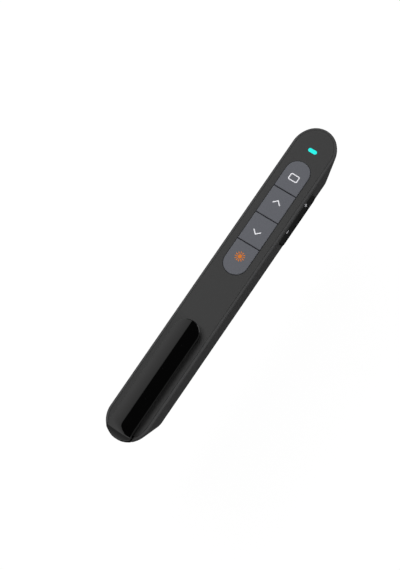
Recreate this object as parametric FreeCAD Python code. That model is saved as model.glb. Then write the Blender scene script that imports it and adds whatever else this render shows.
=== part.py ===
import FreeCAD, Part
import math
import os

# Wireless presentation clicker, in millimetres.
# X runs across the body, with the volume rocker on +X. Y runs along it, with the laser
# nose at +Y. Z points out of the button face. The origin is at the centre of the flat
# underside, so the clicker rests on Z = 0.

V = FreeCAD.Vector

# Body shell, seen from above as a slot shape with two rounded ends
head_round = 10.4        # reach of the rounded head end
tail_round = 9.9         # reach of the rounded tail end
end_share = 0.6          # how much of an end's extra reach its tip arc takes up
head_run = 10.2          # how far the nose leans in from its top edge to its foot
tail_run = 9.9           # the same at the tail
band_height = 2.0        # upright band round the top edge, above the leaning ends
belly_radius = 4.1       # rounding between underside and sides
rim_width = 1.07
rim_radius = 0.9
wall = 1.5
overrun = 2.0            # how far every cutting tool runs past what it cuts

# Top cover, a plate with a skirt, let into the rim of the lower case
plate_thickness = 1.5
plate_gap = 0.12
skirt_thickness = 0.9
skirt_depth = 1.2
skirt_gap = 0.1
bead_radius = 0.5
bead_stand = 0.25
bead_length = 6.0
bead_gap = 0.1
bead_y_shares = (-0.24, -0.08, 0.09)

# Keypad
pad_width = 10.35
pad_from_head = 16.5
pad_from_bay = 6.1       # from the battery bay's head end to the keypad
end_key_length = 14.1
page_key_length = 13.1
key_split = 0.36
key_gap = 0.2
key_stand = 0.3
key_edge_chamfer = 0.2
key_travel = 0.3
key_flange = 0.6
key_flange_thickness = 0.5
key_flange_gap = 0.1
key_post_radius = 1.2
key_post_depth = 0.15
press_gap = 0.05         # left between a fully pressed key and the rubber sheet
membrane_thickness = 0.25
membrane_margin = 0.5

# Status light
light_from_head = 10.55
light_width = 3.85
light_depth = 1.65
light_gap = 0.03
light_foot_gap = 0.1
light_flange = 0.6
light_flange_thickness = 0.5
led_width = 3.0
led_depth = 1.5
led_height = 0.7

# Volume rocker, in the +X wall
rocker_from_head = 37.1
rocker_length = 24.1
rocker_height = 4.7
rocker_top_drop = 2.0    # from the button face down to its top edge
rocker_stand = 1.15
rocker_ridge_share = 0.457  # how much of its height lies under the ridge of its face
rocker_corner = 1.7
rocker_edge_chamfer = 0.25
rocker_gap = 0.2
rocker_flange = 0.5
rocker_flange_thickness = 1.0
rocker_flange_gap = 0.4  # room behind the wall for the rocking flange
rocker_key_gap = 0.625   # between its flange's back and the keys' flange
rocker_clear = 0.3
pivot_radius = 0.6
pivot_play = 0.05
pivot_length = 1.9
pivot_inset = 0.5        # pivot axis behind the flange's front face
lug_width = 2.8
lug_height = 1.8
lug_depth = 2.4

# Circuit board and what it carries
board_thickness = 0.8
board_gap = 0.3
board_from_bay = 5.8     # from the bay's head end to the board's tail edge
board_head_gap = 1.2
board_rocker_gap = 0.7
switch_size = 3.6
switch_height = 0.5
switch_plunger_radius = 0.9
switch_plunger_stand = 0.15  # from a switch's base up to the rubber sheet
side_switch_width = 4.4
side_switch_depth = 2.7
side_switch_height = 1.5
side_switch_pitch = 13.1
side_plunger_length = 0.45
side_plunger_width = 1.6
side_plunger_height = 0.8
side_switch_gap = 0.25
controller_size = 5.0
controller_height = 0.9
controller_from_head = 54.0
radio_size = 4.0
radio_height = 0.8
radio_from_head = 46.5
crystal_width = 3.2
crystal_depth = 2.5
crystal_height = 0.7
crystal_from_head = 41.0
boss_radius = 1.6
boss_from_wall = 2.1
boss_from_board_end = 2.5
boss_from_head = 13.4
screw_shank_radius = 0.7
screw_shank_length = 5.0
screw_head_radius = 1.25
screw_head_height = 0.6
socket_width = 1.0
socket_depth = 0.4

# Laser unit, under the head end of the board
laser_radius = 2.5
laser_length = 11.0
laser_wall = 0.5
laser_from_head = 11.0
laser_board_gap = 0.1
laser_mouth_radius = 1.2
laser_front_wall = 0.5
lens_thickness = 1.4
diode_flange_thickness = 1.2
diode_can_radius = 1.4
diode_can_length = 2.6
cradle_play = 0.05
cradle_width = 7.0
cradle_thickness = 1.6
cradle_from_head = (19.8, 15.0)
cradle_cup_share = 0.6   # share of the barrel's radius left open above the cradle
nose_tube_radius = 3.5
nose_tube_from_head = 12.6
nose_bore_radius = 1.1
window_radius = 1.6
window_gap = 0.05
window_from_head = 6.6
window_sink = 0.25

# Battery bay and door, one AAA cell
cell_radius = 5.25
cell_length = 44.5
cell_stub_radius = 1.9
cell_stub_length = 0.8
cell_edge_chamfer = 0.4
cell_gap = 0.1
cell_head_room = 0.4     # left between the cell and the button face's plate
bay_from_tail = 25.3
spring_length = 2.8
spring_sheet = 0.3
spring_width = 5.0
spring_reach = 7.0       # height of the plate on the wall
spring_touch = 2.0       # height of the leaf's pad against the cell
contact_thickness = 0.4
contact_width = 8.0
contact_height = 8.0
dimple_radius = 1.5
dimple_height = 0.2
bulkhead_thickness = 1.0
bulkhead_drop = 3.4      # from the button face down to the top of every cross wall
cell_rib_thickness = 1.2
cell_rib_shares = (0.23, 0.77)
door_width = 14.0
door_from_bay = 5.8      # from the bay's head end to the door's head edge
door_tail_gap = 0.3
door_head_gap = 0.2
door_side_gap = 0.2
door_reach = 3.6         # height up to which the door takes the curved skin
shelf_thickness = 1.4
shelf_from_bay = 6.6
tab_width = 3.0
tab_pitch = 6.0
tab_thickness = 1.0
tab_reach = 0.9
tab_root = 1.4
tab_gap = 0.25
latch_width = 4.0
latch_thickness = 0.6
latch_height = 1.5
latch_bead = 0.15
grip_count = 4
grip_pitch = 1.6
grip_radius = 0.45
grip_length = 7.0
grip_depth = 0.3
grip_from_tail = 3.4

# Screw that ties the top cover to the lower case, hidden under the door
case_screw_from_bay = 3.2
case_boss_radius = 1.9
case_shank_radius = 0.9
case_shank_length = 7.0
case_head_radius = 1.8
case_head_height = 1.0

# Receiver, kept in a pocket at the tail
plug_width = 12.0
plug_height = 4.5
plug_length = 12.0
plug_wall = 0.3
plug_window = 2.2
plug_window_pitch = 5.0
plug_window_from_cap = 6.2
plug_root = 1.5          # length of the metal shell held in the cap
tongue_thickness = 1.9
tongue_gap = 0.15
cap_width = 13.6
cap_height = 5.6
cap_corner = 1.2
cap_from_tail = 11.7
cap_groove_radius = 0.4
cap_groove_depth = 0.2
cap_groove_pitch = 1.5
receiver_z = 6.0
pocket_gap = 0.25
pocket_wall = 1.0

# Pocket clip
clip_width = 11.2
clip_from_head = 95.3
clip_rise = 3.5
clip_thickness = 1.4
clip_crown = 0.35
clip_bend = 6.5
clip_edge_chamfer = 0.3
clip_seat_gap = 0.3
clip_foot_length = 8.5
clip_tongue_depth = 4.2
clip_floor_gap = 0.05    # left between the receiver's pocket and the seat of the clip's tongue
clip_nib_from_tip = 5.0
clip_nib_radius = 2.4
clip_nib_gap = 0.35

# Places worked out from the sizes above
body_width = pad_width + 2 * (key_flange + rocker_key_gap + rocker_flange_thickness
                              + rocker_flange_gap + wall)
body_height = wall + cell_gap + 2 * cell_radius + cell_head_room + plate_thickness
pad_length = 2 * end_key_length + 2 * page_key_length
front_length = pad_from_head + pad_length + pad_from_bay
bay_length = spring_length + cell_length + contact_thickness
body_length = bay_from_tail + bay_length + front_length
half_width = body_width / 2
head_y = body_length / 2
tail_y = -body_length / 2
band_z = body_height - band_height
plate_z = body_height - plate_thickness
inner_half = half_width - wall
membrane_top = (plate_z - key_flange_gap - key_flange_thickness - key_post_depth - key_travel
                - press_gap)
membrane_bottom = membrane_top - membrane_thickness
board_top = membrane_bottom - switch_plunger_stand - switch_height
board_bottom = board_top - board_thickness
bay_tail_y = tail_y + bay_from_tail
bay_head_y = bay_tail_y + bay_length
board_tail_y = bay_head_y + board_from_bay
boss_x = inner_half - boss_from_wall
boss_tail_y = board_tail_y + boss_from_board_end
boss_head_y = head_y - boss_from_head
pad_head_y = head_y - pad_from_head
pad_tail_y = pad_head_y - pad_length
light_y = head_y - light_from_head
rocker_y = head_y - rocker_from_head
rocker_top = body_height - rocker_top_drop
rocker_z = rocker_top - rocker_height / 2
rocker_face = half_width + rocker_stand
flange_front = inner_half - rocker_flange_gap
flange_back = flange_front - rocker_flange_thickness
laser_z = board_bottom - laser_board_gap - laser_radius
laser_front_y = head_y - laser_from_head
nose_tube_start_y = head_y - nose_tube_from_head
window_seat_y = head_y - window_from_head
cell_z = wall + cell_gap + cell_radius
cell_tail_y = bay_tail_y + spring_length
cell_head_y = cell_tail_y + cell_length
shelf_z = door_reach
shelf_head_y = bay_head_y + shelf_from_bay
door_tail_y = bay_tail_y + door_tail_gap
door_head_y = bay_head_y + door_from_bay
case_screw_y = bay_head_y + case_screw_from_bay
bulkhead_z = body_height - bulkhead_drop
cap_y = tail_y + cap_from_tail
plug_end_y = cap_y + plug_length
pocket_top = receiver_z + cap_height / 2 + pocket_gap + pocket_wall
clip_tongue_z = pocket_top + clip_floor_gap + clip_seat_gap
clip_tip_y = head_y - clip_from_head
clip_top = body_height + clip_rise
clip_under = clip_top - clip_thickness


def block(x_low, x_high, y_low, y_high, z_low, z_high):
    """A box between two corners."""
    size = V(x_high - x_low, y_high - y_low, z_high - z_low)
    return Part.makeBox(size.x, size.y, size.z, V(x_low, y_low, z_low))


def wide_block(half, y_low, y_high, z_low, z_high):
    """A box centred on the body's middle plane."""
    return block(-half, half, y_low, y_high, z_low, z_high)


def post(radius, x, y, z_low, z_high):
    """An upright round post."""
    return Part.makeCylinder(radius, z_high - z_low, V(x, y, z_low), V(0, 0, 1))


def rod(radius, y_low, y_high, x, z):
    """A round bar along the body."""
    return Part.makeCylinder(radius, y_high - y_low, V(x, y_low, z), V(0, 1, 0))


def joined(first, *others):
    """Fuses solids into one clean solid."""
    return first.fuse(list(others)).removeSplitter()


def lean(run, z):
    """How far an end has leaned in at the height z."""
    return run * max(band_z - z, 0) / band_z


def end_middle(end, z):
    """Where the straight sides stop at the height z. End is 1 at the head and -1 at the tail."""
    if end > 0:
        return head_y - head_round - lean(head_run, z)
    return tail_y + tail_round + lean(tail_run, z)


def end_arcs(end, z, across, reach):
    """The three arcs round one end: a flank, the tip and the other flank."""
    extra = reach - across
    tip_radius = across - end_share * extra
    offset = extra * (1 + 2 * end_share) / (2 * end_share)
    meet = math.atan2(1 + end_share, (1 + 2 * end_share) / (2 * end_share))
    arcs = []
    for x, along, radius, start, stop in [(-offset, 0, across + offset, 0, meet),
                                          (0, reach - tip_radius, tip_radius, meet, math.pi - meet),
                                          (offset, 0, across + offset, math.pi - meet, math.pi)]:
        points = []
        for angle in (start, (start + stop) / 2, stop):
            y = end_middle(end, z) + end * (along + radius * math.sin(angle))
            points.append(V(x + radius * math.cos(angle), y, z))
        arcs.append(Part.Arc(*points).toShape())
    return arcs


def end_form(end, z_low, z_high, across, reach):
    """One rounded end as a prism that slants along the body's end."""
    low = end_middle(end, z_low)
    edges = end_arcs(end, z_low, across, reach)
    edges.append(Part.makeLine(V(-across, low, z_low), V(across, low, z_low)))
    face = Part.Face(Part.Wire(Part.__sortEdges__(edges)))
    return face.extrude(V(0, end_middle(end, z_high) - low, z_high - z_low))


def straight_form(z_low, z_high, across):
    """The body's straight middle, between its two ends."""
    ends = [(-1, z_low), (1, z_low), (1, z_high), (-1, z_high), (-1, z_low)]
    side = Part.makePolygon([V(-across, end_middle(end, z), z) for end, z in ends])
    return Part.Face(side).extrude(V(2 * across, 0, 0))


def plain_form(z_low, z_high, inset, head_inset, tail_inset):
    """The body's form between two heights with no bend between them, drawn in by the insets."""
    across = half_width - inset
    head = end_form(1, z_low, z_high, across, head_round - head_inset)
    tail = end_form(-1, z_low, z_high, across, tail_round - tail_inset)
    return joined(straight_form(z_low, z_high, across), head, tail)


def upright_form(z_low, z_high, inset, head_inset, tail_inset):
    """The outline of the body's top edge as an upright prism."""
    form = plain_form(body_height, body_height + z_high - z_low, inset, head_inset, tail_inset)
    form.translate(V(0, 0, z_low - body_height))
    return form


def body_slice(z_low, z_high, inset, head_inset, tail_inset):
    """The body's form between two heights, as leaning and upright parts in one solid."""
    form = plain_form(z_low, min(band_z, z_high), inset, head_inset, tail_inset)
    if z_high > band_z:
        form = joined(form, plain_form(band_z, z_high, inset, head_inset, tail_inset))
    return form


def edges_at(shape, z):
    """The edges that lie flat at the height z."""
    slack = wall / 1000
    return [e for e in shape.Edges
            if abs(e.BoundBox.ZMin - z) < slack and abs(e.BoundBox.ZMax - z) < slack]


def end_wall(run):
    """The level thickness of an end wall that is as thick as the sides, square to its lean."""
    return wall * math.sqrt(1 + (run / band_z) ** 2)


def make_hull():
    """The outer form of the closed body."""
    form = body_slice(0, body_height, 0, 0, 0)
    form = form.makeFillet(belly_radius, edges_at(form, 0))
    return form.makeFillet(rim_radius, edges_at(form, body_height))


def make_cavity():
    """The room inside the shell, open through the top, its lower edges cut off at a slant."""
    form = body_slice(wall, body_height + overrun, wall, end_wall(head_run), end_wall(tail_run))
    bevel = (belly_radius - wall) * (2 - math.sqrt(2))
    return form.makeChamfer(bevel, edges_at(form, wall))


def slot_plan(y_low, y_high, half, round_low, round_high, z):
    """A strip across the middle plane, with a round end where it is asked for."""
    edges = []
    start = y_low + half if round_low else y_low
    stop = y_high - half if round_high else y_high
    edges.append(Part.makeLine(V(half, start, z), V(half, stop, z)))
    if round_high:
        edges.append(Part.Arc(V(half, stop, z), V(0, y_high, z), V(-half, stop, z)).toShape())
    else:
        edges.append(Part.makeLine(V(half, stop, z), V(-half, stop, z)))
    edges.append(Part.makeLine(V(-half, stop, z), V(-half, start, z)))
    if round_low:
        edges.append(Part.Arc(V(-half, start, z), V(0, y_low, z), V(half, start, z)).toShape())
    else:
        edges.append(Part.makeLine(V(-half, start, z), V(half, start, z)))
    return Part.Face(Part.Wire(edges))


def slot_block(y_low, y_high, half, round_low, round_high, z_low, z_high):
    """The strip as an upright prism."""
    plan = slot_plan(y_low, y_high, half, round_low, round_high, z_low)
    return plan.extrude(V(0, 0, z_high - z_low))


def cross_slot(y, length, depth, z_low, z_high):
    """A small slot shape that lies across the body."""
    strip = slot_block(-length / 2, length / 2, depth / 2, True, True, z_low, z_high)
    strip.rotate(V(0, 0, 0), V(0, 0, 1), 90)
    strip.translate(V(0, y, 0))
    return strip


def rounded_bar(x_low, x_high, y_half, z_half, corner):
    """A bar whose outline, seen from the side, is a rectangle with round corners."""
    bar = block(x_low, x_high, -y_half, y_half, -z_half, z_half)
    corners = [e for e in bar.Edges if e.BoundBox.XLength > e.BoundBox.YLength + e.BoundBox.ZLength]
    return bar.makeFillet(corner, corners)


def bead_places():
    """Sides and places of the snap beads on the skirt, clear of the rocker."""
    return [(side, share * body_length) for side in (-1, 1) for share in bead_y_shares]


def bead(side, y, margin):
    """One snap bead, or with a margin the groove that takes it."""
    x = side * (inner_half - skirt_gap + bead_stand - bead_radius)
    z = plate_z - skirt_depth / 2
    half = bead_length / 2 + margin
    return rod(bead_radius + margin, y - half, y + half, x, z)


def clip_room(margin):
    """The space round the clip's root, in the tail of case and cover."""
    half = clip_width / 2 + margin
    inner = tail_y + clip_tongue_depth + margin
    return wide_block(half, tail_y - overrun, inner, clip_tongue_z - margin, clip_top + overrun)


def rocker_room():
    """The slot for the rocker's bar, through the +X wall."""
    y_half = rocker_length / 2 + rocker_gap
    z_half = rocker_height / 2 + rocker_gap
    slot = rounded_bar(flange_back, half_width + overrun, y_half, z_half, rocker_corner + rocker_gap)
    slot.translate(V(0, rocker_y, rocker_z))
    return slot


def rocker_flange_room(behind):
    """The space that the rocker's flange rocks in, from behind it to the wall."""
    y_half = rocker_length / 2 + rocker_flange + rocker_clear
    z_half = rocker_height / 2 + rocker_flange + rocker_clear
    room = block(flange_back - behind, inner_half, -y_half, y_half, -z_half, z_half)
    room.translate(V(0, rocker_y, rocker_z))
    return room


def pivot_x():
    """The rocker's pivot axis, across the body."""
    return flange_front - pivot_inset


def pivot_lug():
    """The lug on the +X wall that carries the rocker's pivot."""
    top = rocker_z - rocker_height / 2 - rocker_flange - rocker_clear
    x_low = pivot_x() - lug_depth / 2
    y_half = lug_width / 2
    return block(x_low, half_width, rocker_y - y_half, rocker_y + y_half, top - lug_height, top)


def board_boss_places():
    """Where the four board bosses stand."""
    return [(side * boss_x, y) for y in (boss_tail_y, boss_head_y) for side in (-1, 1)]


def pocket_block(margin, y_high):
    """The receiver's pocket, from the tail up to y_high, with a margin all round."""
    half = cap_width / 2 + margin
    z_half = cap_height / 2 + margin
    bar = wide_block(half, tail_y - overrun, y_high, receiver_z - z_half, receiver_z + z_half)
    corners = [e for e in bar.Edges if e.BoundBox.YLength > e.BoundBox.XLength + e.BoundBox.ZLength]
    return bar.makeFillet(cap_corner + margin, corners)


def case_ribs():
    """Every wall, rib and boss that stands inside the lower case."""
    full = half_width
    tail_wall = wide_block(full, bay_tail_y - bulkhead_thickness, bay_tail_y, 0, bulkhead_z)
    head_wall = wide_block(full, bay_head_y, bay_head_y + bulkhead_thickness, shelf_z, bulkhead_z)
    shelf = wide_block(full, bay_head_y, shelf_head_y, shelf_z, shelf_z + shelf_thickness)
    ribs = [tail_wall, head_wall, shelf, pivot_lug()]
    ribs.append(wide_block(full, tail_y, bay_tail_y, 0, pocket_top))
    for share in cell_rib_shares:
        y = cell_tail_y + share * cell_length
        rib = wide_block(full, y, y + cell_rib_thickness, shelf_z, bulkhead_z)
        ribs.append(rib.cut(rod(cell_radius + cell_gap, y - overrun, y + overrun, 0, cell_z)))
    for x, y in board_boss_places():
        ribs.append(post(boss_radius, x, y, 0, board_bottom))
    seat_top = laser_z - laser_radius * cradle_cup_share
    for distance in cradle_from_head:
        y = head_y - distance
        ribs.append(wide_block(cradle_width / 2, y, y + cradle_thickness, 0, seat_top))
    nose_tube = rod(nose_tube_radius, nose_tube_start_y, head_y, 0, laser_z)
    ribs.append(nose_tube.common(wide_block(full, nose_tube_start_y, head_y, 0, board_bottom)))
    return ribs


def door_opening():
    """The opening in the underside that the door closes."""
    half = door_width / 2 + door_side_gap
    return wide_block(half, bay_tail_y, door_head_y + door_head_gap, -overrun, shelf_z)


def tab_room():
    """Nothing of the case stands above its skin where the door's tabs hook in."""
    half = tab_pitch / 2 + tab_width / 2 + tab_gap
    return wide_block(half, door_head_y, door_head_y + tab_reach + tab_gap, wall, shelf_z)


def make_lower_case(hull, cavity):
    """The moulded lower shell with its walls, bosses, pockets and openings."""
    hollow = cavity
    for rib in case_ribs():
        hollow = hollow.cut(rib)
    case = hull.cut(hollow)
    cover_seat = upright_form(plate_z, body_height + overrun, rim_width, rim_width, rim_width)
    cuts = [cover_seat, door_opening(), tab_room(), rocker_room(), rocker_flange_room(rocker_clear)]
    cuts.append(clip_room(clip_seat_gap))
    cuts.append(pocket_block(pocket_gap, plug_end_y + pocket_gap))
    barrel_tail = laser_front_y - laser_length
    cuts.append(rod(laser_radius + cradle_play, barrel_tail - overrun, laser_front_y, 0, laser_z))
    cuts.append(rod(nose_bore_radius, laser_front_y, head_y, 0, laser_z))
    cuts.append(rod(window_radius, window_seat_y, head_y, 0, laser_z))
    cuts.append(post(case_shank_radius, 0, case_screw_y, shelf_z - overrun, shelf_z + shelf_thickness))
    for side, y in bead_places():
        cuts.append(bead(side, y, bead_gap))
    for x, y in board_boss_places():
        cuts.append(post(screw_shank_radius, x, y, board_bottom - screw_shank_length, board_bottom))
    lug_top = rocker_z - rocker_height / 2 - rocker_flange
    lug_bottom = lug_top - pivot_length - rocker_clear
    cuts.append(post(pivot_radius + pivot_play, pivot_x(), rocker_y, lug_bottom, lug_top))
    for cut in cuts:
        case = case.cut(cut)
    return case


def make_top_cover():
    """The flat button face with its skirt, key window, light hole and screw boss."""
    inset = rim_width + plate_gap
    plate = upright_form(plate_z, body_height, inset, inset, inset)
    skirt_z = plate_z - skirt_depth
    outer = (wall + skirt_gap, end_wall(head_run) + skirt_gap, end_wall(tail_run) + skirt_gap)
    inner = [gap + skirt_thickness for gap in outer]
    skirt = body_slice(skirt_z, plate_z, *outer).cut(body_slice(skirt_z, plate_z, *inner))
    cover = joined(plate, skirt)
    boss = post(case_boss_radius, 0, case_screw_y, shelf_z + shelf_thickness, plate_z)
    cover = joined(cover, boss, *[bead(side, y, 0) for side, y in bead_places()])
    shank_top = shelf_z + case_shank_length
    half = pad_width / 2 + key_gap
    window = slot_block(pad_tail_y - key_gap, pad_head_y + key_gap, half, True, True,
                        plate_z - overrun, body_height + overrun)
    light_hole = cross_slot(light_y, light_width + 2 * light_gap, light_depth + 2 * light_gap,
                            plate_z - overrun, body_height + overrun)
    cuts = [window, light_hole, rocker_flange_room(rocker_clear), clip_room(clip_seat_gap)]
    cuts.append(post(case_shank_radius, 0, case_screw_y, shelf_z, shank_top))
    for cut in cuts:
        cover = cover.cut(cut)
    return cover


def make_key(y_low, y_high, round_low, round_high):
    """One key cap with its holding flange under the cover and its short post."""
    half = pad_width / 2
    top = body_height + key_stand
    flange_top = plate_z - key_flange_gap
    flange_bottom = flange_top - key_flange_thickness
    cap = slot_block(y_low, y_high, half, round_low, round_high, flange_bottom, top)
    cap = cap.makeChamfer(key_edge_chamfer, edges_at(cap, top))
    flange_low = y_low - key_flange if round_low else y_low
    flange_high = y_high + key_flange if round_high else y_high
    flange = slot_block(flange_low, flange_high, half + key_flange, round_low, round_high,
                        flange_bottom, flange_top)
    stem = post(key_post_radius, 0, (y_low + y_high) / 2, flange_bottom - key_post_depth, flange_bottom)
    return joined(cap, flange, stem)


def key_spans():
    """Name, low and high ends and round ends of each key, from the head to the tail."""
    lengths = [("screen_key", end_key_length), ("page_up_key", page_key_length),
               ("page_down_key", page_key_length), ("laser_key", end_key_length)]
    spans = []
    high = pad_head_y
    for name, length in lengths:
        low = high - length
        first = name == "screen_key"
        last = name == "laser_key"
        top = high if first else high - key_split / 2
        bottom = low if last else low + key_split / 2
        spans.append((name, bottom, top, last, first))
        high = low
    return spans


def make_membrane():
    """The thin rubber sheet between keys and switches."""
    half = pad_width / 2 + membrane_margin
    return slot_block(pad_tail_y - membrane_margin, pad_head_y + membrane_margin, half, True, True,
                      membrane_bottom, membrane_top)


def make_light_pipe():
    """The clear pipe that brings the status light up to the button face."""
    foot = board_top + led_height + light_foot_gap
    pipe = cross_slot(light_y, light_width, light_depth, foot, body_height)
    flange = cross_slot(light_y, light_width + 2 * light_flange, light_depth + 2 * light_flange,
                        plate_z - light_flange_thickness, plate_z)
    return joined(pipe, flange)


def rocker_slant():
    """The room above the rocker's slanting upper face, from the wall out past its ridge."""
    ridge_z = rocker_top + (rocker_ridge_share - 1) * rocker_height
    far = rocker_face + overrun
    points = [V(half_width, 0, rocker_top), V(rocker_face, 0, ridge_z), V(far, 0, ridge_z),
              V(far, 0, body_height), V(half_width, 0, body_height), V(half_width, 0, rocker_top)]
    room = Part.Face(Part.makePolygon(points)).extrude(V(0, rocker_length, 0))
    room.translate(V(0, rocker_y - rocker_length / 2, 0))
    return room


def make_rocker():
    """The volume rocker: a proud bar with a slanting upper face, a holding flange and a pivot stub."""
    y_half = rocker_length / 2
    z_half = rocker_height / 2
    bar = rounded_bar(flange_back, rocker_face, y_half, z_half, rocker_corner)
    flange = rounded_bar(flange_back, flange_front, y_half + rocker_flange, z_half + rocker_flange,
                         rocker_corner)
    rocker = joined(bar, flange)
    rocker.translate(V(0, rocker_y, rocker_z))
    rocker = rocker.cut(rocker_slant())
    outer = [e for e in rocker.Edges if e.BoundBox.XMin > half_width + rocker_edge_chamfer]
    rocker = rocker.makeChamfer(rocker_edge_chamfer, outer)
    foot = rocker_z - z_half - rocker_flange
    stub = post(pivot_radius, pivot_x(), rocker_y, foot - pivot_length, foot)
    return joined(rocker, stub)


def make_board():
    """The circuit board, cut to the inside of the shell, with a bay for the rocker."""
    slab = body_slice(board_bottom, board_top, wall + board_gap,
                      end_wall(head_run) + board_head_gap, end_wall(tail_run))
    slab = slab.common(wide_block(half_width, board_tail_y, head_y, 0, body_height))
    slab = slab.cut(rocker_flange_room(board_rocker_gap))
    for x, y in board_boss_places():
        slab = slab.cut(post(screw_shank_radius, x, y, 0, body_height))
    return slab


def make_key_switches():
    """The four small press switches under the keys."""
    switches = []
    for name, low, high, last, first in key_spans():
        middle = (low + high) / 2
        half = switch_size / 2
        top = board_top + switch_height
        base = wide_block(half, middle - half, middle + half, board_top, top)
        plunger = post(switch_plunger_radius, 0, middle, top, membrane_bottom)
        switches.append(joined(base, plunger))
    return Part.makeCompound(switches)


def make_rocker_switches():
    """The two side-press switches that the rocker works."""
    switches = []
    tip = flange_back - side_switch_gap
    front = tip - side_plunger_length
    half = side_switch_width / 2
    tip_half = side_plunger_width / 2
    bottom = board_bottom - side_switch_height
    tip_bottom = board_bottom - side_switch_height / 2 - side_plunger_height / 2
    for side in (-1, 1):
        y = rocker_y + side * side_switch_pitch / 2
        base = block(front - side_switch_depth, front, y - half, y + half, bottom, board_bottom)
        plunger = block(front, tip, y - tip_half, y + tip_half,
                        tip_bottom, tip_bottom + side_plunger_height)
        switches.append(joined(base, plunger))
    return Part.makeCompound(switches)


def hung_chip(width, depth, height, y):
    """A flat part soldered to the board's underside."""
    return wide_block(width / 2, y - depth / 2, y + depth / 2, board_bottom - height, board_bottom)


def make_led():
    """The status light itself, on the board under its pipe."""
    return wide_block(led_width / 2, light_y - led_depth / 2, light_y + led_depth / 2,
                      board_top, board_top + led_height)


def make_screw(x, y, seat, direction, head_radius, head_height, shank_radius, shank_length):
    """A screw whose head sits on seat. Direction is 1 for a screw that is driven upwards."""
    head_low = seat - head_height if direction > 0 else seat
    head = post(head_radius, x, y, head_low, head_low + head_height)
    shank_low = seat if direction > 0 else seat - shank_length
    screw = joined(head, post(shank_radius, x, y, shank_low, shank_low + shank_length))
    socket_low = head_low if direction > 0 else seat + head_height - socket_depth
    socket_high = socket_low + socket_depth
    half = socket_width / 2
    return screw.cut(block(x - half, x + half, y - half, y + half, socket_low, socket_high))


def make_board_screws():
    """The four screws that hold the board on its bosses."""
    length = screw_shank_length + board_thickness
    return Part.makeCompound([
        make_screw(x, y, board_top, -1, screw_head_radius, screw_head_height, screw_shank_radius, length)
        for x, y in board_boss_places()
    ])


def make_case_screw():
    """The screw under the door that pulls the cover down."""
    return make_screw(0, case_screw_y, shelf_z, 1, case_head_radius, case_head_height,
                      case_shank_radius, case_shank_length)


def make_laser_barrel():
    """The brass tube of the laser unit, with its front stop."""
    tail = laser_front_y - laser_length
    tube = rod(laser_radius, tail, laser_front_y, 0, laser_z)
    bore = rod(laser_radius - laser_wall, tail - overrun, laser_front_y - laser_front_wall, 0, laser_z)
    return tube.cut(bore).cut(rod(laser_mouth_radius, tail, laser_front_y + overrun, 0, laser_z))


def make_laser_lens():
    """The lens behind the barrel's front stop, with a domed back."""
    front = laser_front_y - laser_front_wall
    radius = laser_radius - laser_wall
    disc = rod(radius, front - lens_thickness, front, 0, laser_z)
    ball = Part.makeSphere(radius + lens_thickness, V(0, front + lens_thickness / 2, laser_z))
    return disc.common(ball)


def make_laser_diode():
    """The laser diode: a flange and a can, set in the barrel's tail."""
    tail = laser_front_y - laser_length
    flange = rod(laser_radius - laser_wall, tail, tail + diode_flange_thickness, 0, laser_z)
    can = rod(diode_can_radius, tail, tail + diode_flange_thickness + diode_can_length, 0, laser_z)
    return joined(flange, can)


def make_laser_window():
    """The clear plug in the nose, its face leaning with the nose."""
    plug = rod(window_radius - window_gap, window_seat_y, head_y, 0, laser_z)
    return plug.common(body_slice(0, body_height, 0, window_sink, 0))


def make_cell():
    """The AAA cell, with its stub at the head end."""
    body_end = cell_head_y - cell_stub_length
    can = rod(cell_radius, cell_tail_y, body_end, 0, cell_z)
    can = can.makeChamfer(cell_edge_chamfer, [e for e in can.Edges if e.Closed])
    stub = rod(cell_stub_radius, body_end - cell_edge_chamfer, cell_head_y, 0, cell_z)
    return joined(can, stub)


def make_spring():
    """The contact spring at the cell's flat end: a leaf bent forward from a plate on the wall."""
    half = spring_width / 2
    foot = cell_z - spring_reach / 2
    low = cell_z - spring_touch / 2
    front = bay_tail_y + spring_length
    back = front - spring_sheet
    slope = (low - foot) / spring_length
    drop = spring_sheet * math.sqrt(1 + slope ** 2)
    bend = foot + drop + slope * (back - bay_tail_y)
    corners = [(bay_tail_y, foot), (front, low), (front, low + spring_touch),
               (back, low + spring_touch), (back, bend), (bay_tail_y, foot + drop), (bay_tail_y, foot)]
    side = Part.Face(Part.makePolygon([V(-half, y, z) for y, z in corners]))
    leaf = side.extrude(V(spring_width, 0, 0))
    plate = wide_block(half, bay_tail_y, bay_tail_y + spring_sheet, foot, foot + spring_reach)
    return joined(leaf, plate)


def make_contact_plate():
    """The plate that meets the cell's stub, with a pressed dimple behind it."""
    z_half = contact_height / 2
    plate = wide_block(contact_width / 2, cell_head_y, bay_head_y, cell_z - z_half, cell_z + z_half)
    dimple = rod(dimple_radius, bay_head_y - dimple_height, bay_head_y, 0, cell_z)
    return plate.cut(dimple)


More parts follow.
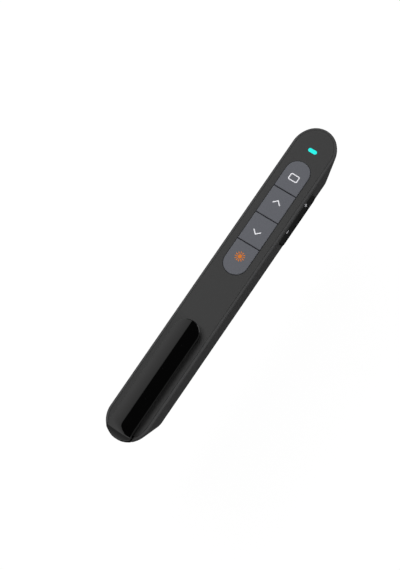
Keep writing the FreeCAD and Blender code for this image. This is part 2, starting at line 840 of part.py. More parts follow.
def make_door(hull, cavity):
    """The battery door: a piece of the curved skin with hooks, a latch lip and grip grooves."""
    half = door_width / 2
    window = wide_block(half, door_tail_y, door_head_y, -overrun, shelf_z)
    door = hull.common(window).cut(cavity)
    for side in (-1, 1):
        x_low = side * tab_pitch / 2 - tab_width / 2
        x_high = x_low + tab_width
        low = wall + tab_gap
        high = low + tab_thickness
        start = door_head_y - tab_root
        tab = block(x_low, x_high, start, door_head_y + tab_reach, low, high)
        root = block(x_low, x_high, start, door_head_y - tab_gap, wall / 2, high)
        door = joined(door, tab, root)
    top = wall + latch_height
    lip = wide_block(latch_width / 2, door_tail_y, door_tail_y + latch_thickness, wall / 2, top)
    nub = wide_block(latch_width / 2, door_tail_y - latch_bead, door_tail_y, top - latch_height / 2, top)
    door = joined(door, lip, nub)
    for index in range(grip_count):
        y = door_tail_y + grip_from_tail + index * grip_pitch
        start = V(-grip_length / 2, y, grip_depth - grip_radius)
        door = door.cut(Part.makeCylinder(grip_radius, grip_length, start, V(1, 0, 0)))
    return door


def make_receiver_cap(hull):
    """The receiver's cap, shaped as the tail's leaning skin, with two nail grooves."""
    cap = pocket_block(0, cap_y).common(hull)
    for side in (-1, 1):
        z = receiver_z + side * cap_groove_pitch / 2
        y = tail_y + lean(tail_run, z) - cap_groove_radius + cap_groove_depth
        groove = Part.makeCylinder(cap_groove_radius, cap_width, V(-cap_width / 2, y, z), V(1, 0, 0))
        cap = cap.cut(groove)
    return cap.cut(plug_outer(cap_y - plug_root, cap_y))


def plug_outer(y_low, y_high):
    """The outside of the plug's metal shell."""
    z_half = plug_height / 2
    return wide_block(plug_width / 2, y_low, y_high, receiver_z - z_half, receiver_z + z_half)


def make_receiver_shell():
    """The plug's metal shell, with two latch windows in its top and its bottom."""
    tube = plug_outer(cap_y - plug_root, plug_end_y)
    half = plug_width / 2 - plug_wall
    z_half = plug_height / 2 - plug_wall
    bore = wide_block(half, cap_y - plug_root, plug_end_y, receiver_z - z_half, receiver_z + z_half)
    tube = tube.cut(bore)
    y = cap_y + plug_window_from_cap
    for side in (-1, 1):
        x = side * plug_window_pitch / 2
        hole = block(x - plug_window / 2, x + plug_window / 2, y - plug_window / 2, y + plug_window / 2,
                     receiver_z - plug_height, receiver_z + plug_height)
        tube = tube.cut(hole)
    return tube


def make_receiver_tongue():
    """The plug's contact tongue, on the lower side of the shell's bore."""
    half = plug_width / 2 - plug_wall
    low = receiver_z - plug_height / 2 + plug_wall
    high = receiver_z + plug_height / 2 - plug_wall
    root = wide_block(half, cap_y - plug_root, cap_y, low, high)
    tongue = wide_block(half - tongue_gap, cap_y, plug_end_y - plug_wall, low, low + tongue_thickness)
    return joined(root, tongue)


def clip_side():
    """The clip's underside seen from the side: tongue, foot and arm, square over the top."""
    inner = tail_y + clip_tongue_depth
    foot = body_height + clip_seat_gap
    foot_end = tail_y + clip_foot_length
    above = clip_top + overrun
    points = [
        V(0, clip_tip_y, clip_under), V(0, clip_tip_y, above), V(0, tail_y - overrun, above),
        V(0, tail_y - overrun, clip_tongue_z), V(0, inner, clip_tongue_z), V(0, inner, foot),
        V(0, foot_end, foot), V(0, foot_end + clip_under - foot, clip_under),
        V(0, clip_tip_y, clip_under),
    ]
    return Part.Face(Part.makePolygon(points))


def clip_skin():
    """Everything under the clip's crowned top, which turns down over the tail."""
    half = clip_width / 2
    bend_y = tail_y + clip_bend
    bend_z = clip_top - clip_bend
    edge_z = clip_top - clip_crown
    crown = Part.Arc(V(half, bend_y, edge_z), V(0, bend_y, clip_top), V(-half, bend_y, edge_z)).toShape()
    sides = Part.makePolygon([V(-half, bend_y, edge_z), V(-half, bend_y, bend_z),
                              V(half, bend_y, bend_z), V(half, bend_y, edge_z)])
    section = Part.Face(Part.Wire([crown] + sides.Edges))
    arm = section.extrude(V(0, clip_tip_y + overrun - bend_y, 0))
    bend = section.revolve(V(0, bend_y, bend_z), V(1, 0, 0), 90)
    root = wide_block(half, tail_y, bend_y, 0, bend_z)
    return joined(arm, bend, root)


def make_clip():
    """The gloss pocket clip: crowned arm, round tip, nib, and a root bent over the tail."""
    half = clip_width / 2
    side = clip_side()
    side.translate(V(-half, 0, 0))
    form = side.extrude(V(clip_width, 0, 0))
    plan = slot_block(tail_y - overrun, clip_tip_y, half, False, True, 0, clip_top + overrun)
    tall = body_slice(0, clip_top + overrun, 0, 0, 0)
    form = form.common(clip_skin()).common(plan).common(tall).removeSplitter()
    rounded = [e for e in form.Edges if clip_rounds(e)]
    form = form.makeChamfer(clip_edge_chamfer, rounded)
    nib_y = clip_tip_y - clip_nib_from_tip
    nib_z = body_height + clip_nib_gap + clip_nib_radius
    nib = Part.makeCylinder(clip_nib_radius, clip_width, V(-half, nib_y, nib_z), V(1, 0, 0))
    nib = nib.common(wide_block(half, nib_y - clip_nib_radius, nib_y + clip_nib_radius, 0,
                                clip_under + clip_thickness / 2))
    return joined(form, nib.common(plan))


def clip_rounds(edge):
    """Whether an edge of the clip is one of those round its top and its bend."""
    box = edge.BoundBox
    high = box.ZMax > clip_under + clip_thickness / 2
    along = box.YLength > clip_thickness
    slanting = box.XLength > clip_thickness and box.ZLength > clip_thickness
    return (high and along) or slanting


def make_parts():
    """Every piece, by its name."""
    hull = make_hull()
    cavity = make_cavity()
    parts = {
        "lower_case": make_lower_case(hull, cavity),
        "top_cover": make_top_cover(),
        "pocket_clip": make_clip(),
        "volume_rocker": make_rocker(),
        "keypad_membrane": make_membrane(),
        "status_light_pipe": make_light_pipe(),
        "circuit_board": make_board(),
        "key_switches": make_key_switches(),
        "rocker_switches": make_rocker_switches(),
        "status_led": make_led(),
        "controller_chip": hung_chip(controller_size, controller_size, controller_height,
                                    head_y - controller_from_head),
        "radio_chip": hung_chip(radio_size, radio_size, radio_height,
                                    head_y - radio_from_head),
        "crystal": hung_chip(crystal_width, crystal_depth, crystal_height,
                                    head_y - crystal_from_head),
        "board_screws": make_board_screws(),
        "case_screw": make_case_screw(),
        "laser_barrel": make_laser_barrel(),
        "laser_lens": make_laser_lens(),
        "laser_diode": make_laser_diode(),
        "laser_window": make_laser_window(),
        "battery_cell": make_cell(),
        "battery_spring": make_spring(),
        "battery_contact_plate": make_contact_plate(),
        "battery_door": make_door(hull, cavity),
        "receiver_cap": make_receiver_cap(hull),
        "receiver_shell": make_receiver_shell(),
        "receiver_tongue": make_receiver_tongue(),
    }
    for name, low, high, last, first in key_spans():
        parts[name] = make_key(low, high, last, first)
    return parts


os.makedirs("parts", exist_ok=True)
for name, shape in make_parts().items():
    shape.exportStep("parts/" + name + ".step")
    box = shape.optimalBoundingBox(False)
    print(name, len(shape.Solids), shape.isValid(), round(shape.Volume, 2),
          [round(v, 2) for v in (box.XMin, box.XMax, box.YMin, box.YMax, box.ZMin, box.ZMax)])
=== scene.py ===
"""Dresses the wireless presentation clicker: finishes, marks, small parts, studio and camera."""

import math

import bmesh
import bpy
from bpy.props import FloatProperty, FloatVectorProperty, IntProperty, PointerProperty
from mathutils import Matrix, Vector


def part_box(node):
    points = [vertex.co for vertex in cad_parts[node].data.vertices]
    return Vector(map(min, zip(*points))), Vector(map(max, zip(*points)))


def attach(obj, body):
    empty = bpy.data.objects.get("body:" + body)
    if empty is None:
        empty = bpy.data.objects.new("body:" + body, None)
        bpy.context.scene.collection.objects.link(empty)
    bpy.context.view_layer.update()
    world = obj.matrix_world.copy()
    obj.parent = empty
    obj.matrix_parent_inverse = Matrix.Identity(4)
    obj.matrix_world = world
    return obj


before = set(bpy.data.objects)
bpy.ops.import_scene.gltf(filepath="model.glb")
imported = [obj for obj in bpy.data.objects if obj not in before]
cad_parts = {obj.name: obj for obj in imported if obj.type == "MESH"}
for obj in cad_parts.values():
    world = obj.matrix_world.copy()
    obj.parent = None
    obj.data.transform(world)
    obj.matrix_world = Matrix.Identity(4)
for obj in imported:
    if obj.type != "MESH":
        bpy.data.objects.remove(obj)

bl_info = {
    "name": "Presentation Clicker",
    "version": (1, 0, 0),
    "blender": (4, 5, 0),
    "location": "View3D > Sidebar > Clicker",
    "description": "Finishes, printed marks and a small studio for a presentation clicker",
    "category": "Object",
}

MM = 0.001

# Finishes
PLAIN_GREY = (0.5, 0.5, 0.5, 1.0)
GROUP_RESULTS = {"Colour": "NodeSocketColor", "Roughness": "NodeSocketFloat",
                 "Height": "NodeSocketFloat"}
RELIEF_STRENGTH = 0.5
METAL_RELIEF = 0.004 * MM
NOISE_MEAN = 0.5
GRAIN_SHARE = 0.5
GRAIN_DETAIL = 2.0
CLOUD_DETAIL = 4.0
LINE_DETAIL = 3.0
LIT_BASE_SHARE = 0.3
LIT_STRENGTH = 0.7
SCREW_SHARE = 0.6
GLASS_CLARITY = 0.8

# Fineness and limits of the small pieces
MITRE_LIMIT = 0.3
CORNER_STEPS = 6
CORE_SIDES = 24
RAY_FOOT_SHARE = 0.6
TURN_STEPS = 48
SHARP_DEGREES = 30
SLANT_SIDEWAYS = 0.7
SLANT_UPWARDS = 0.3

# Studio
FLOOR_SIDES = 96
FLOOR_ROUGHNESS = 0.9
SENSOR_WIDTH = 36.0
CLIP_NEAR = 0.1
CLIP_FAR = 20.0


def length_property(name, description, default):
    """A length that the panel shows in metres."""
    return FloatProperty(name=name, description=description, default=default, min=0.0,
                         unit="LENGTH", precision=5)


def number_property(name, description, default):
    """A plain number."""
    return FloatProperty(name=name, description=description, default=default)


def colour_property(name, description, default):
    """A plain colour."""
    return FloatVectorProperty(name=name, description=description, default=default, size=3,
                               min=0.0, max=1.0, subtype="COLOR")


def angle_property(name, description, degrees):
    """An angle, given in degrees."""
    return FloatProperty(name=name, description=description, default=math.radians(degrees),
                         subtype="ANGLE", unit="ROTATION")


class ClickerMarks(bpy.types.PropertyGroup):
    """Sizes of what is printed on the keys and the rocker."""

    print_height: length_property("Print height", "How far the print stands out", 0.03 * MM)
    print_sink: length_property("Print sink", "How far the print reaches in", 0.03 * MM)
    screen_width: length_property("Screen width", "Width of the screen mark", 4.2 * MM)
    screen_depth: length_property("Screen depth", "Depth of the screen mark", 3.0 * MM)
    screen_corner: length_property("Screen corner", "Rounding of the screen mark", 0.45 * MM)
    screen_stroke: length_property("Screen stroke", "Stroke of the screen mark", 0.42 * MM)
    screen_inset: length_property("Screen inset", "From the straight end to the mark", 6.32 * MM)
    arrow_width: length_property("Arrow width", "Width of the page arrows", 3.35 * MM)
    arrow_rise: length_property("Arrow rise", "From an arrow's ends up to its tip", 1.6 * MM)
    arrow_shift: length_property("Arrow shift", "How far an arrow is off its key's middle", 0.9 * MM)
    arrow_stroke: length_property("Arrow stroke", "Stroke of the page arrows", 0.42 * MM)
    burst_inset: length_property("Burst inset", "From the straight end to the mark", 5.96 * MM)
    burst_radius: length_property("Burst radius", "Reach of the laser mark's rays", 2.1 * MM)
    burst_start: length_property("Burst start", "Where the rays begin", 1.1 * MM)
    burst_core: length_property("Burst core", "Radius of the laser mark's core", 0.85 * MM)
    burst_stroke: length_property("Burst stroke", "Width of a ray at its outer end", 0.42 * MM)
    burst_rays: IntProperty(name="Burst rays", description="Number of rays", default=12, min=3)
    sign_size: length_property("Sign size", "Length of the plus and minus on the rocker", 1.5 * MM)
    sign_stroke: length_property("Sign stroke", "Stroke of the plus and minus", 0.32 * MM)
    sign_pitch: length_property("Sign pitch", "Distance between plus and minus", 13.3 * MM)
    sign_lift: length_property("Sign lift", "From the slant's middle up to the signs", 0.7 * MM)


class ClickerDetails(bpy.types.PropertyGroup):
    """Sizes of the small parts on the receiver, the cell and the door."""

    skin: length_property("Skin", "Thickness of plating and printed bands", 0.03 * MM)
    tongue_thickness: length_property("Tongue", "Thickness of the receiver's tongue", 1.9 * MM)
    pad_width: length_property("Pad width", "Width of a contact pad", 1.1 * MM)
    outer_pad_length: length_property("Outer pad length", "Length of the two outer pads", 7.4 * MM)
    inner_pad_length: length_property("Inner pad length", "Length of the two inner pads", 6.4 * MM)
    outer_pad_place: length_property("Outer pad place", "From the middle to an outer pad", 3.5 * MM)
    inner_pad_place: length_property("Inner pad place", "From the middle to an inner pad", 1.0 * MM)
    pad_inset: length_property("Pad inset", "From the tongue's tip to the pads", 0.6 * MM)
    cell_radius: length_property("Cell radius", "Radius of the battery cell", 5.25 * MM)
    cell_stub_radius: length_property("Stub radius", "Radius of the cell's stub", 1.9 * MM)
    cell_stub_length: length_property("Stub length", "Length of the cell's stub", 0.8 * MM)
    cell_end_radius: length_property("Cell end radius", "Radius of the bare steel ends", 4.7 * MM)
    band_inset: length_property("Band inset", "From the shoulder to the pale band", 0.475 * MM)
    band_length: length_property("Band length", "Length of the pale band at the stub end", 8.0 * MM)
    polarity_size: length_property("Polarity size", "Length of the cell's plus and minus", 2.6 * MM)
    polarity_stroke: length_property("Polarity stroke", "Stroke of these two", 0.6 * MM)
    polarity_height: length_property("Polarity height", "How far these two stand out", 0.06 * MM)
    polarity_sink: length_property("Polarity sink", "How far these two reach in", 0.18 * MM)
    arrow_inset: length_property("Arrow inset", "From the door's tail edge to its arrow", 12.0 * MM)
    arrow_length: length_property("Arrow length", "Length of the arrow on the door", 2.6 * MM)
    arrow_width: length_property("Arrow width", "Width of the arrow on the door", 3.4 * MM)
    arrow_height: length_property("Arrow height", "How far the arrow stands out", 0.01 * MM)


class ClickerColours(bpy.types.PropertyGroup):
    """Colours of the clicker's finishes."""

    case: colour_property("Case", "Moulded lower case, door and receiver cap", (0.04, 0.04, 0.0405))
    cover: colour_property("Cover", "Flat button face", (0.038, 0.038, 0.038))
    key: colour_property("Keys", "Key caps", (0.101, 0.104, 0.117))
    rocker: colour_property("Rocker", "Volume rocker", (0.006, 0.006, 0.006))
    clip: colour_property("Clip", "Gloss pocket clip", (0.0015, 0.0015, 0.0015))
    light: colour_property("Light", "Lit status light", (0.013, 0.871, 0.791))
    white_print: colour_property("White print", "Marks on keys and rocker", (0.75, 0.75, 0.78))
    orange_print: colour_property("Orange print", "Laser mark", (0.56, 0.155, 0.013))
    board: colour_property("Board", "Circuit board", (0.012, 0.1, 0.045))
    steel: colour_property("Steel", "Plated steel", (0.6, 0.6, 0.6))
    brass: colour_property("Brass", "Laser barrel", (0.72, 0.5, 0.2))
    gold: colour_property("Gold", "Contact pads", (0.83, 0.6, 0.25))
    sleeve: colour_property("Cell sleeve", "Battery cell's sleeve", (0.05, 0.055, 0.06))
    band: colour_property("Cell band", "Pale band at the cell's stub end", (0.55, 0.56, 0.58))
    door_mark: colour_property("Door mark", "Arrow on the battery door", (0.09, 0.09, 0.092))
    rubber: colour_property("Rubber", "Sheet under the keys", (0.05, 0.05, 0.05))
    chip: colour_property("Chips", "Moulded resin of the chips", (0.02, 0.02, 0.022))
    tongue: colour_property("Tongue", "Receiver's tongue", (0.02, 0.02, 0.02))
    contact: colour_property("Contacts", "Nickel plated spring steel", (0.75, 0.74, 0.71))
    glass: colour_property("Laser glass", "Laser's lens and window", (0.75, 0.12, 0.1))


class ClickerStudio(bpy.types.PropertyGroup):
    """Camera, lamps, cards and floor."""

    azimuth: angle_property("Azimuth", "Camera's turn round the clicker", 51.1805)
    elevation: angle_property("Elevation", "Camera's height above the horizon", 70.6727)
    roll: angle_property("Roll", "Camera's turn round its own line of sight", -18.1621)
    distance: length_property("Distance", "From the camera to its target", 0.90013)
    lens: number_property("Lens", "Focal length in millimetres", 142.642)
    target: FloatVectorProperty(name="Target", description="Point that the camera looks at", size=3,
                                default=(-0.010143, -0.003439, 0.002016),
                                subtype="TRANSLATION", unit="LENGTH")
    floor_drop: length_property("Floor drop", "From the clicker's underside to the floor", 0.06)
    floor_radius: length_property("Floor radius", "Radius of the round floor", 4.0)
    floor_level: number_property("Floor level", "Grey of the floor under the lamps", 0.55)
    floor_share: number_property("Floor share", "How much of the floor's look is glow", 0.88)
    floor_glow: number_property("Floor glow", "Strength of the floor's own glow", 1.08)
    world_strength: number_property("World", "Strength of the room's own light", 0.06)
    key_watts: number_property("Key lamp", "Power of the large soft lamp", 9.6)
    key_turn: angle_property("Key lamp turn", "Its turn from -X towards the nose", 15.0)
    key_lift: angle_property("Key lamp height", "Its height above the horizon", 62.0)
    fill_watts: number_property("Fill lamp", "Power of the low lamp on the right", 3.8)
    fill_lift: angle_property("Fill lamp height", "Its height above the horizon", 20.0)
    lamp_size: length_property("Lamp size", "Side of each soft lamp", 0.65)
    lamp_distance: length_property("Lamp distance", "From each lamp to the clicker", 0.9)
    card_height: length_property("Card height", "Overhead cards' height above the underside", 0.5)
    card_reach: length_property("Card reach", "From the clicker to the overhead cards' ends", 1.12)
    border_place: FloatProperty(name="Border", description="Where the black card begins, along X",
                                default=-0.13665, unit="LENGTH", precision=5)
    black_width: length_property("Black card width", "Width of the black card overhead", 0.167)
    fade_width: length_property("Fade width", "Width of the graded card beside the black one", 0.107)
    fade_level: number_property("Fade level", "Graded card's brightness at the black one", 0.6)
    wall_distance: length_property("Wall distance", "From the clicker to the standing cards", 0.9)
    wall_top: length_property("Wall top", "Height of the standing cards' upper edge", 0.3)
    tail_level: number_property("Tail level", "Brightness of the card behind the tail", 0.35)
    side_level: number_property("Side level", "Brightness of the card on the rocker's side", 0.25)
    apron_drop: length_property("Apron drop", "From the underside down to the aprons", 0.055)
    apron_width: length_property("Apron width", "Width of the grey apron", 1.8)
    apron_length: length_property("Apron length", "Length of the grey apron", 1.8)
    apron_level: number_property("Apron level", "Brightness of the grey apron", 0.4)
    inner_share: number_property("Inner share", "Dark apron's size against the grey one", 0.14)
    inner_level: number_property("Inner level", "Brightness of the dark apron", 0.02)


def settings(name):
    """The property group of that name."""
    return getattr(bpy.context.scene, "clicker_" + name)


# Shader node groups

def new_group(name, numbers):
    """An empty shader node group of a finish: a colour and numbers in, three results out."""
    group = bpy.data.node_groups.new(name, "ShaderNodeTree")
    colour = group.interface.new_socket(name="Colour", in_out="INPUT", socket_type="NodeSocketColor")
    colour.default_value = PLAIN_GREY
    for label, value in numbers.items():
        number = group.interface.new_socket(name=label, in_out="INPUT", socket_type="NodeSocketFloat")
        number.default_value = value
    for label, kind in GROUP_RESULTS.items():
        group.interface.new_socket(name=label, in_out="OUTPUT", socket_type=kind)
    return group, group.nodes.new("NodeGroupInput"), group.nodes.new("NodeGroupOutput")


def add_noise(tree, vector, scale, detail):
    """Noise whose scale comes from a socket."""
    noise = tree.nodes.new("ShaderNodeTexNoise")
    noise.inputs["Detail"].default_value = detail
    tree.links.new(vector, noise.inputs["Vector"])
    tree.links.new(scale, noise.inputs["Scale"])
    return noise.outputs["Fac"]


def add_math(tree, operation, first, second):
    """One Math node. Its inputs are sockets or numbers."""
    node = tree.nodes.new("ShaderNodeMath")
    node.operation = operation
    for index, value in enumerate((first, second)):
        if isinstance(value, (int, float)):
            node.inputs[index].default_value = value
        else:
            tree.links.new(value, node.inputs[index])
    return node.outputs[0]


def add_scaled_colour(tree, colour, factor):
    """The colour made lighter or darker by a factor."""
    node = tree.nodes.new("ShaderNodeVectorMath")
    node.operation = "SCALE"
    tree.links.new(colour, node.inputs[0])
    tree.links.new(factor, node.inputs["Scale"])
    return node.outputs[0]


def object_coordinates(tree):
    """The clicker's own coordinates, in metres."""
    return tree.nodes.new("ShaderNodeTexCoord").outputs["Object"]


def spread_pattern(group, inlet, outlet, pattern, relief):
    """Spreads colour and roughness by a pattern, and puts out the relief."""
    centred = add_math(group, "SUBTRACT", pattern, NOISE_MEAN)
    shade = add_math(group, "MULTIPLY", centred, inlet.outputs["Colour Spread"])
    tint = add_math(group, "ADD", shade, 1.0)
    sheen = add_math(group, "MULTIPLY", centred, inlet.outputs["Roughness Spread"])
    sheen = add_math(group, "ADD", sheen, inlet.outputs["Roughness"])
    group.links.new(add_scaled_colour(group, inlet.outputs["Colour"], tint), outlet.inputs["Colour"])
    group.links.new(sheen, outlet.inputs["Roughness"])
    group.links.new(relief, outlet.inputs["Height"])


def make_grain_group():
    """Moulded or painted grain: fine pits, slow cloudy changes of colour and of sheen."""
    group, inlet, outlet = new_group(
        "Fine grain", {"Colour Spread": 0.08, "Roughness": 0.5, "Roughness Spread": 0.1,
                       "Grain Scale": 9000.0, "Cloud Scale": 120.0})
    place = object_coordinates(group)
    grain = add_noise(group, place, inlet.outputs["Grain Scale"], GRAIN_DETAIL)
    cloud = add_noise(group, place, inlet.outputs["Cloud Scale"], CLOUD_DETAIL)
    fine = add_math(group, "MULTIPLY", grain, GRAIN_SHARE)
    slow = add_math(group, "MULTIPLY", cloud, 1.0 - GRAIN_SHARE)
    spread_pattern(group, inlet, outlet, add_math(group, "ADD", fine, slow), grain)
    return group


def make_brushed_group():
    """Fine drawn lines along the clicker, for sheet metal and turned parts."""
    group, inlet, outlet = new_group(
        "Drawn lines", {"Colour Spread": 0.15, "Roughness": 0.3, "Roughness Spread": 0.2,
                        "Line Scale": 6000.0, "Stretch": 0.04})
    squeeze = group.nodes.new("ShaderNodeCombineXYZ")
    squeeze.inputs["X"].default_value = 1.0
    squeeze.inputs["Z"].default_value = 1.0
    group.links.new(inlet.outputs["Stretch"], squeeze.inputs["Y"])
    scaled = group.nodes.new("ShaderNodeVectorMath")
    scaled.operation = "MULTIPLY"
    group.links.new(object_coordinates(group), scaled.inputs[0])
    group.links.new(squeeze.outputs[0], scaled.inputs[1])
    lines = add_noise(group, scaled.outputs[0], inlet.outputs["Line Scale"], LINE_DETAIL)
    spread_pattern(group, inlet, outlet, lines, lines)
    return group


def shared_group(name, maker):
    """The node group of that name, made when it is first asked for."""
    return bpy.data.node_groups.get(name) or maker()


def finish_material(name, group, colour, bump, shader_values, **group_values):
    """A material whose colour, roughness and relief come from a shared group."""
    material = bpy.data.materials.new(name)
    material.use_nodes = True
    tree = material.node_tree
    shader = tree.nodes["Principled BSDF"]
    source = tree.nodes.new("ShaderNodeGroup")
    source.node_tree = group
    source.inputs["Colour"].default_value = (*colour, 1.0)
    for label, value in group_values.items():
        source.inputs[label.replace("_", " ")].default_value = value
    tree.links.new(source.outputs["Colour"], shader.inputs["Base Color"])
    tree.links.new(source.outputs["Roughness"], shader.inputs["Roughness"])
    if bump > 0:
        relief = tree.nodes.new("ShaderNodeBump")
        relief.inputs["Strength"].default_value = RELIEF_STRENGTH
        relief.inputs["Distance"].default_value = bump
        tree.links.new(source.outputs["Height"], relief.inputs["Height"])
        tree.links.new(relief.outputs["Normal"], shader.inputs["Normal"])
    for label, value in shader_values.items():
        shader.inputs[label].default_value = value
    return material


def plastic(name, colour, roughness, level, bump=0.0, **group_values):
    """A moulded plastic with a fine grain."""
    group = shared_group("Fine grain", make_grain_group)
    return finish_material(name, group, colour, bump, {"Specular IOR Level": level},
                           Roughness=roughness, **group_values)


def metal(name, colour, roughness):
    """A bare or plated metal with drawn lines."""
    group = shared_group("Drawn lines", make_brushed_group)
    return finish_material(name, group, colour, METAL_RELIEF, {"Metallic": 1.0},
                           Roughness=roughness)


def dress(node_names, material):
    """Gives CAD nodes their finish."""
    for name in node_names:
        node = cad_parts[name]
        if not node.material_slots:
            node.data.materials.append(material)
        for slot in node.material_slots:
            slot.material = material


def seen_share(tree):
    """1 for what the camera, gloss and glass see, and 0 for light that falls on things."""
    path = tree.nodes.new("ShaderNodeLightPath")
    seen = add_math(tree, "MAXIMUM", path.outputs["Is Camera Ray"], path.outputs["Is Glossy Ray"])
    return add_math(tree, "MAXIMUM", seen, path.outputs["Is Transmission Ray"])


# Small pieces

def make_piece(name, form, material):
    """A piece in the scene from a finished bmesh."""
    mesh = bpy.data.meshes.new(name)
    form.to_mesh(mesh)
    form.free()
    mesh.materials.append(material)
    piece = bpy.data.objects.new(name, mesh)
    bpy.context.scene.collection.objects.link(piece)
    return piece


def make_solid(name, form, material):
    """A closed piece, with its faces turned outwards."""
    bmesh.ops.recalc_face_normals(form, faces=form.faces)
    return make_piece(name, form, material)


def join_loops(form, first, second):
    """Faces between two loops of as many points."""
    for index in range(len(first)):
        after = (index + 1) % len(first)
        form.faces.new((first[index], first[after], second[after], second[index]))


def plate_from(name, loops, z_low, z_high, material):
    """A thin level piece from closed outlines, each with its own floor, top and walls."""
    form = bmesh.new()
    for loop in loops:
        low = [form.verts.new((x, y, z_low)) for x, y in loop]
        high = [form.verts.new((x, y, z_high)) for x, y in loop]
        form.faces.new(high)
        form.faces.new(list(reversed(low)))
        join_loops(form, low, high)
    return make_solid(name, form, material)


def stroke_path(points, stroke, closed):
    """Left side and right side of a mitred stroke along points."""
    left, right = [], []
    count = len(points)
    for index, point in enumerate(points):
        here = Vector(point)
        before = Vector(points[index - 1]) if closed or index > 0 else None
        after = Vector(points[(index + 1) % count]) if closed or index < count - 1 else None
        along_in = (here - before).normalized() if before is not None else (after - here).normalized()
        along_out = (after - here).normalized() if after is not None else along_in
        across = Vector((-(along_in.y + along_out.y), along_in.x + along_out.x)).normalized()
        normal_in = Vector((-along_in.y, along_in.x))
        reach = stroke / 2 / max(across.dot(normal_in), MITRE_LIMIT)
        left.append(tuple(here + across * reach))
        right.append(tuple(here - across * reach))
    return left, right


def band_piece(name, points, stroke, closed, z_low, z_high, material):
    """A stroke of even width along points, as one thin solid."""
    form = bmesh.new()
    rows = []
    for near, far in zip(*stroke_path(points, stroke, closed)):
        rows.append([form.verts.new((*near, z_low)), form.verts.new((*far, z_low)),
                     form.verts.new((*far, z_high)), form.verts.new((*near, z_high))])
    for first, second in zip(rows, rows[1:] + rows[:1] if closed else rows[1:]):
        join_loops(form, first, second)
    if not closed:
        form.faces.new(rows[0])
        form.faces.new(list(reversed(rows[-1])))
    return make_solid(name, form, material)


def arc_points(centre_x, centre_y, radius, start, stop, steps):
    """Points along an arc, angles in degrees."""
    points = []
    for index in range(steps + 1):
        angle = math.radians(start + (stop - start) * index / steps)
        points.append((centre_x + radius * math.cos(angle), centre_y + radius * math.sin(angle)))
    return points


def rounded_rectangle(middle_x, middle_y, width, depth, corner):
    """The centre line of a rectangle with round corners."""
    points = []
    for sign_x, sign_y, start in ((1, 1, 0), (-1, 1, 90), (-1, -1, 180), (1, -1, 270)):
        centre_x = middle_x + sign_x * (width / 2 - corner)
        centre_y = middle_y + sign_y * (depth / 2 - corner)
        points += arc_points(centre_x, centre_y, corner, start, start + 90, CORNER_STEPS)
    return points


def turned_piece(name, outline, centre_z, material):
    """A closed outline of radius and place along the body, turned into a ring or a cup."""
    form = bmesh.new()
    rings = []
    for step in range(TURN_STEPS):
        angle = 2 * math.pi * step / TURN_STEPS
        across, up = math.cos(angle), math.sin(angle)
        rings.append([form.verts.new((radius * across, y, centre_z + radius * up))
                      for radius, y in outline])
    for first, second in zip(rings, rings[1:] + rings[:1]):
        join_loops(form, first, second)
    piece = make_solid(name, form, material)
    for face in piece.data.polygons:
        face.use_smooth = True
    piece.data.set_sharp_from_angle(angle=math.radians(SHARP_DEGREES))
    return piece


def box_loop(x_low, x_high, y_low, y_high):
    """The corners of a level rectangle."""
    return [(x_low, y_low), (x_high, y_low), (x_high, y_high), (x_low, y_high)]


def sign_loops(size, stroke, both, middle=0.0):
    """Outlines of a minus or, with both strokes, of a plus."""
    half, thin = size / 2, stroke / 2
    loops = [box_loop(-half, half, middle - thin, middle + thin)]
    if both:
        loops.append(box_loop(-thin, thin, middle + thin, middle + half))
        loops.append(box_loop(-thin, thin, middle - half, middle - thin))
    return loops


def rocker_slant():
    """Middle and outward direction of the rocker's slanting upper face."""
    faces = [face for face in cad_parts["volume_rocker"].data.polygons
             if face.normal.x > SLANT_SIDEWAYS and face.normal.z > SLANT_UPWARDS]
    area = sum(face.area for face in faces)
    middle = sum((face.center * face.area for face in faces), Vector()) / area
    normal = sum((face.normal * face.area for face in faces), Vector()).normalized()
    return middle, normal


class CLICKER_OT_case(bpy.types.Operator):
    """Gives the lower case, the battery door and the receiver's cap their satin moulded finish"""

    bl_idname = "clicker.case"
    bl_label = "Case finish"

    def execute(self, context):
        material = plastic("case_plastic", settings("colours").case, roughness=0.5, level=0.25,
                           bump=0.012 * MM, Colour_Spread=0.12, Roughness_Spread=0.12,
                           Grain_Scale=7000.0)
        dress(["lower_case", "battery_door", "receiver_cap"], material)
        return {"FINISHED"}


class CLICKER_OT_cover(bpy.types.Operator):
    """Gives the button face its soft matt finish"""

    bl_idname = "clicker.cover"
    bl_label = "Cover finish"

    def execute(self, context):
        material = plastic("cover_plastic", settings("colours").cover, roughness=0.6, level=0.15,
                           bump=0.006 * MM, Colour_Spread=0.05, Roughness_Spread=0.08,
                           Grain_Scale=9000.0)
        dress(["top_cover"], material)
        return {"FINISHED"}


